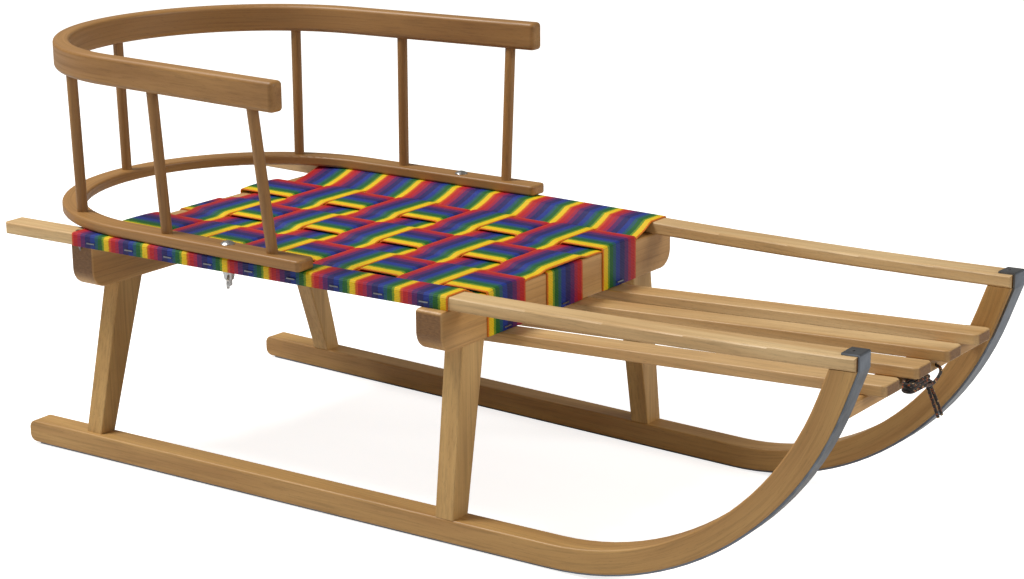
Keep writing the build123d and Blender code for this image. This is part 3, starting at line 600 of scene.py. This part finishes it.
def hank_points():
    """Flat oval turns, each one cord above the last, starting along the front."""
    cx, cy = HANK_MIDDLE

    def fold(x, degrees):
        angles = [math.radians(a) for a in degrees]
        return [(x + HANK_BEND * math.cos(a), HANK_BEND * math.sin(a)) for a in angles]

    ring = [(9.0, -HANK_BEND), (-6.0, -HANK_BEND), (-HANK_STRAIGHT, -HANK_BEND)]
    ring += fold(-HANK_STRAIGHT, (-135, -180, -225))
    ring += [(x, HANK_BEND) for x in (-HANK_STRAIGHT, -6.0, 6.0, HANK_STRAIGHT)]
    ring += fold(HANK_STRAIGHT, (45, 0, -45))
    ring += [(HANK_STRAIGHT, -HANK_BEND)]
    points = []
    for count in range(HANK_TURNS * len(ring) + HANK_LAST_POINTS):
        x, y = ring[count % len(ring)]
        points.append((cx + x, cy + y, HANK_LOW_Z + HANK_STEP * count / len(ring)))
    return points


def cord_curve(name, points):
    """A round cord through control points in millimetres. Returns its object and its spline."""
    data = bpy.data.curves.new(name, "CURVE")
    data.dimensions = "3D"
    data.bevel_depth = CORD_RADIUS
    data.bevel_resolution = 4
    spline = data.splines.new("NURBS")
    spline.points.add(len(points) - 1)
    for point, place in zip(spline.points, points):
        point.co = (place[0] / 1000, place[1] / 1000, place[2] / 1000, 1.0)
    spline.order_u = 3
    data.materials.append(CORD)
    piece = bpy.data.objects.new(name, data)
    bpy.context.scene.collection.objects.link(piece)
    return piece, spline


def open_cord(name, points):
    piece, spline = cord_curve(name, points)
    spline.use_endpoint_u = True
    piece.data.resolution_u = 8
    piece.data.use_fill_caps = True
    return piece


def knot_piece():
    """An overhand knot: a small trefoil of the same cord."""
    cx, cy, cz = KNOT_PLACE
    points = []
    for index in range(KNOT_POINTS):
        t = 2 * math.pi * index / KNOT_POINTS
        points.append((
            cx + KNOT_REACH * (math.sin(t) + 2 * math.sin(2 * t)),
            cy - KNOT_DEPTH * math.sin(3 * t),
            cz + KNOT_REACH * (math.cos(t) - 2 * math.cos(2 * t))))
    knot, spline = cord_curve("cord_knot", points)
    spline.use_cyclic_u = True
    return knot


main_cord = open_cord("pull_cord_main", LEAD_POINTS + hank_points() + TAIL_A)
tail_cord = open_cord("pull_cord_second_end", TAIL_B)
knot = knot_piece()
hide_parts("pull_cord_hank", "pull_cord_lead")
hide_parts("pull_cord_tails")
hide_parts("pull_cord_knot")
for piece in (main_cord, tail_cord, knot):
    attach(piece, "sled")


# ---------------------------------------------------------------- floor and light
FLOOR_GLOW = 0.80           # lifts the floor to white for the camera only
FLOOR_HALF = 12.0
FLOOR_DROP = 0.0005         # the floor lies this far under the runners


def floor():
    mesh = bpy.data.meshes.new("floor")
    corners = [(x * FLOOR_HALF, y * FLOOR_HALF, 0) for x, y in ((-1, -1), (1, -1), (1, 1), (-1, 1))]
    mesh.from_pydata(corners, [], [(0, 1, 2, 3)])
    ground = bpy.data.objects.new("floor", mesh)
    ground.location.z = -FLOOR_DROP
    bpy.context.scene.collection.objects.link(ground)
    s = Shader("floor")
    s.bsdf.inputs["Base Color"].default_value = grey(0.74)
    s.bsdf.inputs["Roughness"].default_value = 0.9
    s.bsdf.inputs["Specular IOR Level"].default_value = 0.1
    s.bsdf.inputs["Emission Color"].default_value = grey(1.0)
    seen = s.new("ShaderNodeLightPath").outputs["Is Camera Ray"]
    s.put(s.bsdf.inputs["Emission Strength"], s.math("MULTIPLY", seen, FLOOR_GLOW))
    mesh.materials.append(s.material)


def area_light(name, place, size, energy, colour):
    """A round soft light, aimed at the middle of the sledge."""
    data = bpy.data.lights.new(name, "AREA")
    data.shape = "DISK"
    data.size = size
    data.energy = energy
    data.color = colour
    light = bpy.data.objects.new(name, data)
    light.location = place
    light.rotation_euler = (LIGHT_TARGET - Vector(place)).to_track_quat("-Z", "Y").to_euler()
    bpy.context.scene.collection.objects.link(light)


floor()
LIGHT_TARGET = Vector((0.0, 0.0, 0.15))
area_light("key", (-0.9, 1.5, 2.9), 1.3, 96.0, (1.0, 0.99, 0.97))
area_light("front", (0.9, -3.2, 1.7), 1.4, 38.0, (1.0, 0.99, 0.98))
area_light("fill", (-2.8, -0.8, 1.2), 1.8, 3.0, (1.0, 0.97, 0.92))

world = bpy.data.worlds.new("studio")
bpy.context.scene.world = world
world.use_nodes = True
background = world.node_tree.nodes["Background"]
background.inputs["Color"].default_value = (1.0, 0.91, 0.78, 1.0)
background.inputs["Strength"].default_value = 0.28
bpy.context.scene.view_settings.view_transform = "Standard"
